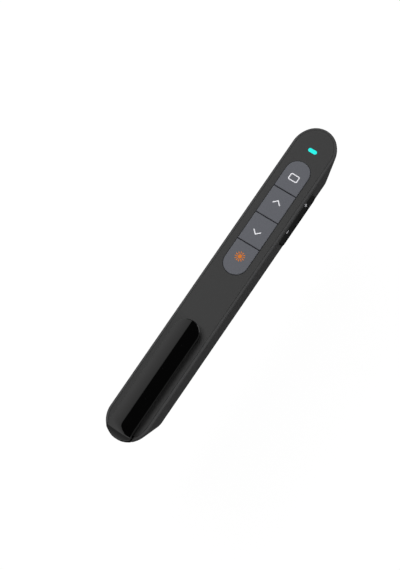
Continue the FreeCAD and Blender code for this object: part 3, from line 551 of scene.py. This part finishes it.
class CLICKER_OT_keys(bpy.types.Operator):
    """Finishes the four keys and prints their marks"""

    bl_idname = "clicker.keys"
    bl_label = "Keys and marks"

    def execute(self, context):
        colours = settings("colours")
        material = plastic("key_plastic", colours.key, roughness=0.6, level=0.15, bump=0.005 * MM,
                           Colour_Spread=0.04, Roughness_Spread=0.08, Grain_Scale=9000.0)
        dress(["screen_key", "page_up_key", "page_down_key", "laser_key"], material)
        white = plastic("white_print", colours.white_print, roughness=0.55, level=0.3,
                        Colour_Spread=0.05)
        orange = plastic("orange_print", colours.orange_print, roughness=0.55, level=0.3,
                         Colour_Spread=0.1)
        self.print_screen(white)
        self.print_arrow("page_up_key", "page_up_button", 1, white)
        self.print_arrow("page_down_key", "page_down_button", -1, white)
        self.print_burst(orange)
        return {"FINISHED"}

    def place(self, node, inset):
        """Top of an end key and its mark's place, a negative inset being from the high end."""
        low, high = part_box(node)
        return high.z, (low.y if inset > 0 else high.y) + inset

    def print_screen(self, material):
        """A blank screen: a rounded rectangle in outline."""
        marks = settings("marks")
        top, middle = self.place("screen_key", marks.screen_inset)
        points = rounded_rectangle(0.0, middle, marks.screen_width - marks.screen_stroke,
                                   marks.screen_depth - marks.screen_stroke, marks.screen_corner)
        mark = band_piece("screen_mark", points, marks.screen_stroke, True,
                          top - marks.print_sink, top + marks.print_height, material)
        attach(mark, "screen_button")

    def print_arrow(self, node, body, direction, material):
        """An arrowhead that points along the clicker, up for 1 and down for -1."""
        marks = settings("marks")
        low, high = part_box(node)
        top = high.z
        middle = (low.y + high.y) / 2 + direction * marks.arrow_shift
        half = marks.arrow_width / 2
        rise = direction * marks.arrow_rise / 2
        points = [(-half, middle - rise), (0.0, middle + rise), (half, middle - rise)]
        mark = band_piece(node.replace("key", "mark"), points, marks.arrow_stroke, False,
                          top - marks.print_sink, top + marks.print_height, material)
        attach(mark, body)

    def print_burst(self, material):
        """A dot with rays round it, wider towards their outer ends."""
        marks = settings("marks")
        top, middle = self.place("laser_key", -marks.burst_inset)
        last = 360 - 360 / CORE_SIDES
        loops = [arc_points(0.0, middle, marks.burst_core, 0, last, CORE_SIDES - 1)]
        for index in range(marks.burst_rays):
            angle = 2 * math.pi * (index + 0.5) / marks.burst_rays
            along = Vector((math.cos(angle), math.sin(angle)))
            across = Vector((-along.y, along.x)) * marks.burst_stroke / 2
            start = Vector((0.0, middle)) + along * marks.burst_start
            stop = Vector((0.0, middle)) + along * marks.burst_radius
            foot = across * RAY_FOOT_SHARE
            loops.append([tuple(start + foot), tuple(start - foot),
                          tuple(stop - across), tuple(stop + across)])
        mark = plate_from("laser_mark", loops, top - marks.print_sink, top + marks.print_height,
                          material)
        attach(mark, "laser_button")


class CLICKER_OT_rocker(bpy.types.Operator):
    """Finishes the volume rocker and prints plus and minus on it"""

    bl_idname = "clicker.rocker"
    bl_label = "Rocker and signs"

    def execute(self, context):
        marks, colours = settings("marks"), settings("colours")
        dress(["volume_rocker"], plastic("rocker_plastic", colours.rocker, roughness=0.3, level=0.2,
                                         Colour_Spread=0.1))
        white = plastic("rocker_print", colours.white_print, roughness=0.5, level=0.3,
                        Colour_Spread=0.05)
        middle, normal = rocker_slant()
        along = Vector((0.0, 1.0, 0.0))
        upward = normal.cross(along)
        for name, place, both in (("plus_sign", 1, True), ("minus_sign", -1, False)):
            loops = sign_loops(marks.sign_size, marks.sign_stroke, both)
            sign_piece = plate_from(name, loops, -marks.print_sink, marks.print_height, white)
            turn = Matrix((along, upward, normal)).transposed().to_4x4()
            centre = middle + along * place * marks.sign_pitch / 2 + upward * marks.sign_lift
            sign_piece.data.transform(Matrix.Translation(centre) @ turn)
            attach(sign_piece, "rocker")
        return {"FINISHED"}


class CLICKER_OT_clip(bpy.types.Operator):
    """Gives the pocket clip its high gloss"""

    bl_idname = "clicker.clip"
    bl_label = "Clip finish"

    def execute(self, context):
        material = plastic("clip_gloss", settings("colours").clip, roughness=0.03, level=0.58,
                           Colour_Spread=0.1, Roughness_Spread=0.02)
        dress(["pocket_clip"], material)
        return {"FINISHED"}


class CLICKER_OT_light(bpy.types.Operator):
    """Lights the status light"""

    bl_idname = "clicker.light"
    bl_label = "Status light"

    def execute(self, context):
        colour = settings("colours").light
        material = plastic("status_light", [LIT_BASE_SHARE * part for part in colour],
                           roughness=0.35, level=0.3, Colour_Spread=0.05)
        shader = material.node_tree.nodes["Principled BSDF"]
        shader.inputs["Emission Color"].default_value = (*colour, 1.0)
        shader.inputs["Emission Strength"].default_value = LIT_STRENGTH
        dress(["status_light_pipe", "status_led"], material)
        return {"FINISHED"}


class CLICKER_OT_inside(bpy.types.Operator):
    """Finishes the board, the laser unit, the cell and the receiver"""

    bl_idname = "clicker.inside"
    bl_label = "Inner parts"

    def execute(self, context):
        colours = settings("colours")
        dress(["keypad_membrane"], plastic("keypad_rubber", colours.rubber, roughness=0.8, level=0.3,
                                           bump=0.01 * MM))
        dress(["circuit_board"], plastic("board_laminate", colours.board, roughness=0.4, level=0.5,
                                         Colour_Spread=0.3))
        dress(["controller_chip", "radio_chip"],
              plastic("chip_resin", colours.chip, roughness=0.5, level=0.4, bump=0.01 * MM))
        dress(["receiver_tongue"], plastic("tongue_plastic", colours.tongue, roughness=0.5, level=0.4,
                                           bump=0.01 * MM))
        dress(["battery_cell"], plastic("cell_sleeve", colours.sleeve, roughness=0.3, level=0.5,
                                        Colour_Spread=0.1))
        dress(["key_switches", "rocker_switches", "crystal", "laser_diode"],
              metal("switch_metal", colours.steel, roughness=0.35))
        dress(["board_screws", "case_screw"],
              metal("screw_steel", [SCREW_SHARE * part for part in colours.steel], roughness=0.35))
        dress(["laser_barrel"], metal("laser_brass", colours.brass, roughness=0.3))
        dress(["battery_spring", "battery_contact_plate"],
              metal("contact_metal", colours.contact, roughness=0.2))
        dress(["receiver_shell"], metal("plug_steel", colours.steel, roughness=0.25))
        glass = plastic("laser_glass", colours.glass, roughness=0.05, level=0.5, Colour_Spread=0.05)
        shader = glass.node_tree.nodes["Principled BSDF"]
        shader.inputs["Transmission Weight"].default_value = GLASS_CLARITY
        dress(["laser_lens", "laser_window"], glass)
        return {"FINISHED"}


class CLICKER_OT_receiver(bpy.types.Operator):
    """Plates the four contact pads on the receiver's tongue"""

    bl_idname = "clicker.receiver"
    bl_label = "Receiver pads"

    def execute(self, context):
        details = settings("details")
        low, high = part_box("receiver_tongue")
        top = low.z + details.tongue_thickness
        tip = high.y - details.pad_inset
        half = details.pad_width / 2
        loops = []
        for place, length in ((details.outer_pad_place, details.outer_pad_length),
                              (details.inner_pad_place, details.inner_pad_length)):
            for side in (-1, 1):
                middle = side * place
                loops.append(box_loop(middle - half, middle + half, tip - length, tip))
        gold = metal("pad_gold", settings("colours").gold, roughness=0.25)
        pads = plate_from("receiver_pads", loops, top - details.skin, top + details.skin, gold)
        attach(pads, "receiver")
        return {"FINISHED"}


class CLICKER_OT_cell(bpy.types.Operator):
    """Adds the cell's bare steel ends, its pale band and its plus and minus"""

    bl_idname = "clicker.cell"
    bl_label = "Cell details"

    def execute(self, context):
        details = settings("details")
        colours = settings("colours")
        low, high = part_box("battery_cell")
        centre_z = (low.z + high.z) / 2
        skin, radius = details.skin, details.cell_radius
        end, stub = details.cell_end_radius, details.cell_stub_radius
        shoulder = high.y - details.cell_stub_length
        band_high = shoulder - details.band_inset
        band_low = band_high - details.band_length
        steel = metal("cell_steel", colours.steel, roughness=0.3)
        stub_end = [(end, shoulder - skin), (end, shoulder + skin), (stub + skin, shoulder + skin),
                    (stub + skin, high.y), (stub - skin, high.y), (stub - skin, shoulder - skin)]
        flat_end = [(end, low.y + skin), (end, low.y - skin), (skin, low.y - skin),
                    (skin, low.y + skin)]
        band = [(radius - skin, band_low), (radius + skin, band_low),
                (radius + skin, band_high), (radius - skin, band_high)]
        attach(turned_piece("cell_stub_end", stub_end, centre_z, steel), "housing")
        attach(turned_piece("cell_flat_end", flat_end, centre_z, steel), "housing")
        pale = plastic("cell_band_print", colours.band, roughness=0.35, level=0.5, Colour_Spread=0.06)
        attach(turned_piece("cell_band", band, centre_z, pale), "housing")
        dark = plastic("cell_plus_print", colours.sleeve, roughness=0.35, level=0.5,
                       Colour_Spread=0.06)
        bottom = centre_z - radius
        self.print_sign("cell_plus", (band_low + band_high) / 2, bottom, True, dark)
        self.print_sign("cell_minus", low.y + details.band_length / 2, bottom, False, pale)
        return {"FINISHED"}

    def print_sign(self, name, middle, bottom, both, material):
        """A sign on the cell's underside, where the open door shows it."""
        details = settings("details")
        loops = sign_loops(details.polarity_size, details.polarity_stroke, both, middle)
        sign = plate_from(name, loops, bottom - details.polarity_height,
                          bottom + details.polarity_sink, material)
        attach(sign, "housing")


class CLICKER_OT_door(bpy.types.Operator):
    """Marks the battery door with an arrow towards its latch"""

    bl_idname = "clicker.door"
    bl_label = "Door arrow"

    def execute(self, context):
        details = settings("details")
        low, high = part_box("battery_door")
        tip = low.y + details.arrow_inset
        foot = tip + details.arrow_length
        half = details.arrow_width / 2
        mark = plastic("door_print", settings("colours").door_mark, roughness=0.5, level=0.3,
                       Colour_Spread=0.05)
        arrow = plate_from("door_arrow", [[(0.0, tip), (half, foot), (-half, foot)]],
                           low.z - details.arrow_height, low.z + details.skin, mark)
        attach(arrow, "door")
        return {"FINISHED"}


class CLICKER_OT_studio(bpy.types.Operator):
    """Sets up the room, the floor, the lamps, the cards and the camera"""

    bl_idname = "clicker.studio"
    bl_label = "Studio"

    def execute(self, context):
        context.scene.view_settings.view_transform = "Standard"
        self.make_world(context)
        self.make_floor()
        self.make_lamps()
        self.make_cards()
        self.make_camera(context)
        return {"FINISHED"}

    def make_world(self, context):
        """A pale room that eyes and gloss see as white."""
        world = bpy.data.worlds.new("pale_room")
        world.use_nodes = True
        context.scene.world = world
        tree = world.node_tree
        background = tree.nodes["Background"]
        background.inputs["Color"].default_value = (1.0, 1.0, 1.0, 1.0)
        room = settings("studio").world_strength
        gain = add_math(tree, "MULTIPLY", seen_share(tree), 1.0 - room)
        tree.links.new(add_math(tree, "ADD", gain, room), background.inputs["Strength"])

    def make_floor(self):
        """A round pale floor that is seen from above alone and keeps the clicker's shadow."""
        studio = settings("studio")
        form = bmesh.new()
        bmesh.ops.create_circle(form, cap_ends=True, segments=FLOOR_SIDES, radius=studio.floor_radius)
        floor = make_piece("floor", form, self.floor_material())
        floor.location.z = -studio.floor_drop

    def floor_material(self):
        """Grey under the lamps and glowing to the eye, clear from below."""
        studio = settings("studio")
        material = bpy.data.materials.new("floor_white")
        material.use_nodes = True
        tree = material.node_tree
        shader = tree.nodes["Principled BSDF"]
        shader.inputs["Base Color"].default_value = (*[studio.floor_level] * 3, 1.0)
        shader.inputs["Roughness"].default_value = FLOOR_ROUGHNESS
        glow = tree.nodes.new("ShaderNodeEmission")
        glow.inputs["Strength"].default_value = studio.floor_glow
        share = add_math(tree, "MULTIPLY", seen_share(tree), studio.floor_share)
        pale = tree.nodes.new("ShaderNodeMixShader")
        tree.links.new(share, pale.inputs["Fac"])
        tree.links.new(shader.outputs[0], pale.inputs[1])
        tree.links.new(glow.outputs[0], pale.inputs[2])
        clear = tree.nodes.new("ShaderNodeBsdfTransparent")
        side = tree.nodes.new("ShaderNodeMixShader")
        under = tree.nodes.new("ShaderNodeNewGeometry").outputs["Backfacing"]
        tree.links.new(under, side.inputs["Fac"])
        tree.links.new(pale.outputs[0], side.inputs[1])
        tree.links.new(clear.outputs[0], side.inputs[2])
        tree.links.new(side.outputs[0], tree.nodes["Material Output"].inputs["Surface"])
        return material

    def make_lamps(self):
        """A large soft lamp on the left of the button face and a weaker low one on the right."""
        studio = settings("studio")
        self.lamp("key_lamp", math.pi - studio.key_turn, studio.key_lift, studio.key_watts)
        self.lamp("fill_lamp", 0.0, studio.fill_lift, studio.fill_watts)

    def lamp(self, name, turn, lift, watts):
        """A square lamp that shines on the clicker and isn't seen in its gloss."""
        studio = settings("studio")
        lamp = bpy.data.lights.new(name, "AREA")
        lamp.energy = watts
        lamp.size = studio.lamp_size
        holder = bpy.data.objects.new(name, lamp)
        bpy.context.scene.collection.objects.link(holder)
        level = math.cos(lift)
        away = Vector((math.cos(turn) * level, math.sin(turn) * level, math.sin(lift)))
        holder.location = away * studio.lamp_distance
        holder.rotation_euler = away.to_track_quat("Z", "Y").to_euler()
        holder.visible_glossy = False

    def make_cards(self):
        """Cards that only reflections see: they draw the clip's gloss and darken the steep sides."""
        studio = settings("studio")
        height, reach = studio.card_height, studio.card_reach
        border = studio.border_place
        wall = studio.wall_distance
        rise = (0, 0, studio.wall_top + studio.floor_drop)
        self.card("black_card", (border, -reach, height), (studio.black_width, 0, 0),
                  (0, 2 * reach, 0), self.glow_material("card_black", 0.0))
        self.card("graded_card", (border - studio.fade_width, -reach, height),
                  (studio.fade_width, 0, 0), (0, 2 * reach, 0), self.fade_material("card_graded"))
        self.card("tail_card", (-wall, -wall, -studio.floor_drop), (2 * wall, 0, 0), rise,
                  self.glow_material("card_dim", studio.tail_level))
        self.card("side_card", (wall, -wall, -studio.floor_drop), (0, 2 * wall, 0), rise,
                  self.glow_material("card_dark", studio.side_level))
        self.apron("grey_apron", 1.0, studio.apron_drop, studio.apron_level)
        self.apron("dark_apron", studio.inner_share, studio.apron_drop - MM, studio.inner_level)

    def apron(self, name, share, drop, level):
        """A level card under the clicker."""
        studio = settings("studio")
        width, length = share * studio.apron_width, share * studio.apron_length
        self.card(name, (-width / 2, -length / 2, -drop), (width, 0, 0), (0, length, 0),
                  self.glow_material(name + "_glow", level))

    def card(self, name, corner, across, along, material):
        """A flat card from one corner and its two sides."""
        form = bmesh.new()
        corner, across, along = Vector(corner), Vector(across), Vector(along)
        form.faces.new([form.verts.new(place) for place in
                        (corner, corner + across, corner + across + along, corner + along)])
        card = make_piece(name, form, material)
        card.visible_camera = False
        card.visible_diffuse = False
        card.visible_shadow = False

    def glow_material(self, name, strength):
        """An even glow."""
        material = bpy.data.materials.new(name)
        material.use_nodes = True
        tree = material.node_tree
        tree.nodes.remove(tree.nodes["Principled BSDF"])
        glow = tree.nodes.new("ShaderNodeEmission")
        glow.inputs["Strength"].default_value = strength
        tree.links.new(glow.outputs[0], tree.nodes["Material Output"].inputs["Surface"])
        return material

    def fade_material(self, name):
        """A glow that falls evenly across the graded card, towards the black one."""
        studio = settings("studio")
        material = self.glow_material(name, 1.0)
        tree = material.node_tree
        place = tree.nodes.new("ShaderNodeSeparateXYZ")
        tree.links.new(object_coordinates(tree), place.inputs[0])
        share = add_math(tree, "SUBTRACT", studio.border_place, place.outputs["X"])
        share = add_math(tree, "DIVIDE", share, studio.fade_width)
        gain = add_math(tree, "MULTIPLY", share, 1.0 - studio.fade_level)
        tree.links.new(add_math(tree, "ADD", gain, studio.fade_level),
                       tree.nodes["Emission"].inputs["Strength"])
        return material

    def make_camera(self, context):
        """A camera that looks at the target from the photograph's side."""
        studio = settings("studio")
        away = Vector((math.sin(studio.azimuth) * math.cos(studio.elevation),
                       -math.cos(studio.azimuth) * math.cos(studio.elevation),
                       math.sin(studio.elevation)))
        level = Vector((math.cos(studio.azimuth), math.sin(studio.azimuth), 0.0))
        upward = away.cross(level)
        right = level * math.cos(studio.roll) + upward * math.sin(studio.roll)
        up = upward * math.cos(studio.roll) - level * math.sin(studio.roll)
        data = bpy.data.cameras.new("camera")
        data.sensor_width = SENSOR_WIDTH
        data.lens = studio.lens
        data.clip_start = CLIP_NEAR
        data.clip_end = CLIP_FAR
        camera = bpy.data.objects.new("camera", data)
        context.scene.collection.objects.link(camera)
        turn = Matrix((right, up, away)).transposed().to_4x4()
        place = Vector(studio.target) + away * studio.distance
        camera.matrix_world = Matrix.Translation(place) @ turn
        context.scene.camera = camera


class CLICKER_PT_panel(bpy.types.Panel):
    """The clicker's steps, in the 3D view's sidebar"""

    bl_label = "Presentation Clicker"
    bl_idname = "CLICKER_PT_panel"
    bl_space_type = "VIEW_3D"
    bl_region_type = "UI"
    bl_category = "Clicker"

    def draw(self, context):
        for step in STEPS:
            self.layout.operator(step.bl_idname)


GROUPS = {"marks": ClickerMarks, "details": ClickerDetails, "colours": ClickerColours,
          "studio": ClickerStudio}
STEPS = (CLICKER_OT_case, CLICKER_OT_cover, CLICKER_OT_keys, CLICKER_OT_rocker, CLICKER_OT_clip,
         CLICKER_OT_light, CLICKER_OT_inside, CLICKER_OT_receiver, CLICKER_OT_cell, CLICKER_OT_door,
         CLICKER_OT_studio)


def register():
    """Registers the property groups, the operators and the panel."""
    for name, group in GROUPS.items():
        bpy.utils.register_class(group)
        setattr(bpy.types.Scene, "clicker_" + name, PointerProperty(type=group))
    for step in (*STEPS, CLICKER_PT_panel):
        bpy.utils.register_class(step)


def unregister():
    """Takes away what register added."""
    for step in reversed((*STEPS, CLICKER_PT_panel)):
        bpy.utils.unregister_class(step)
    for name, group in reversed(GROUPS.items()):
        delattr(bpy.types.Scene, "clicker_" + name)
        bpy.utils.unregister_class(group)


def main():
    """Dresses the clicker step by step."""
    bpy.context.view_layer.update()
    register()
    bpy.ops.clicker.case()
    bpy.ops.clicker.cover()
    bpy.ops.clicker.keys()
    bpy.ops.clicker.rocker()
    bpy.ops.clicker.clip()
    bpy.ops.clicker.light()
    bpy.ops.clicker.inside()
    bpy.ops.clicker.receiver()
    bpy.ops.clicker.cell()
    bpy.ops.clicker.door()
    bpy.ops.clicker.studio()


if __name__ == "__main__":
    main()
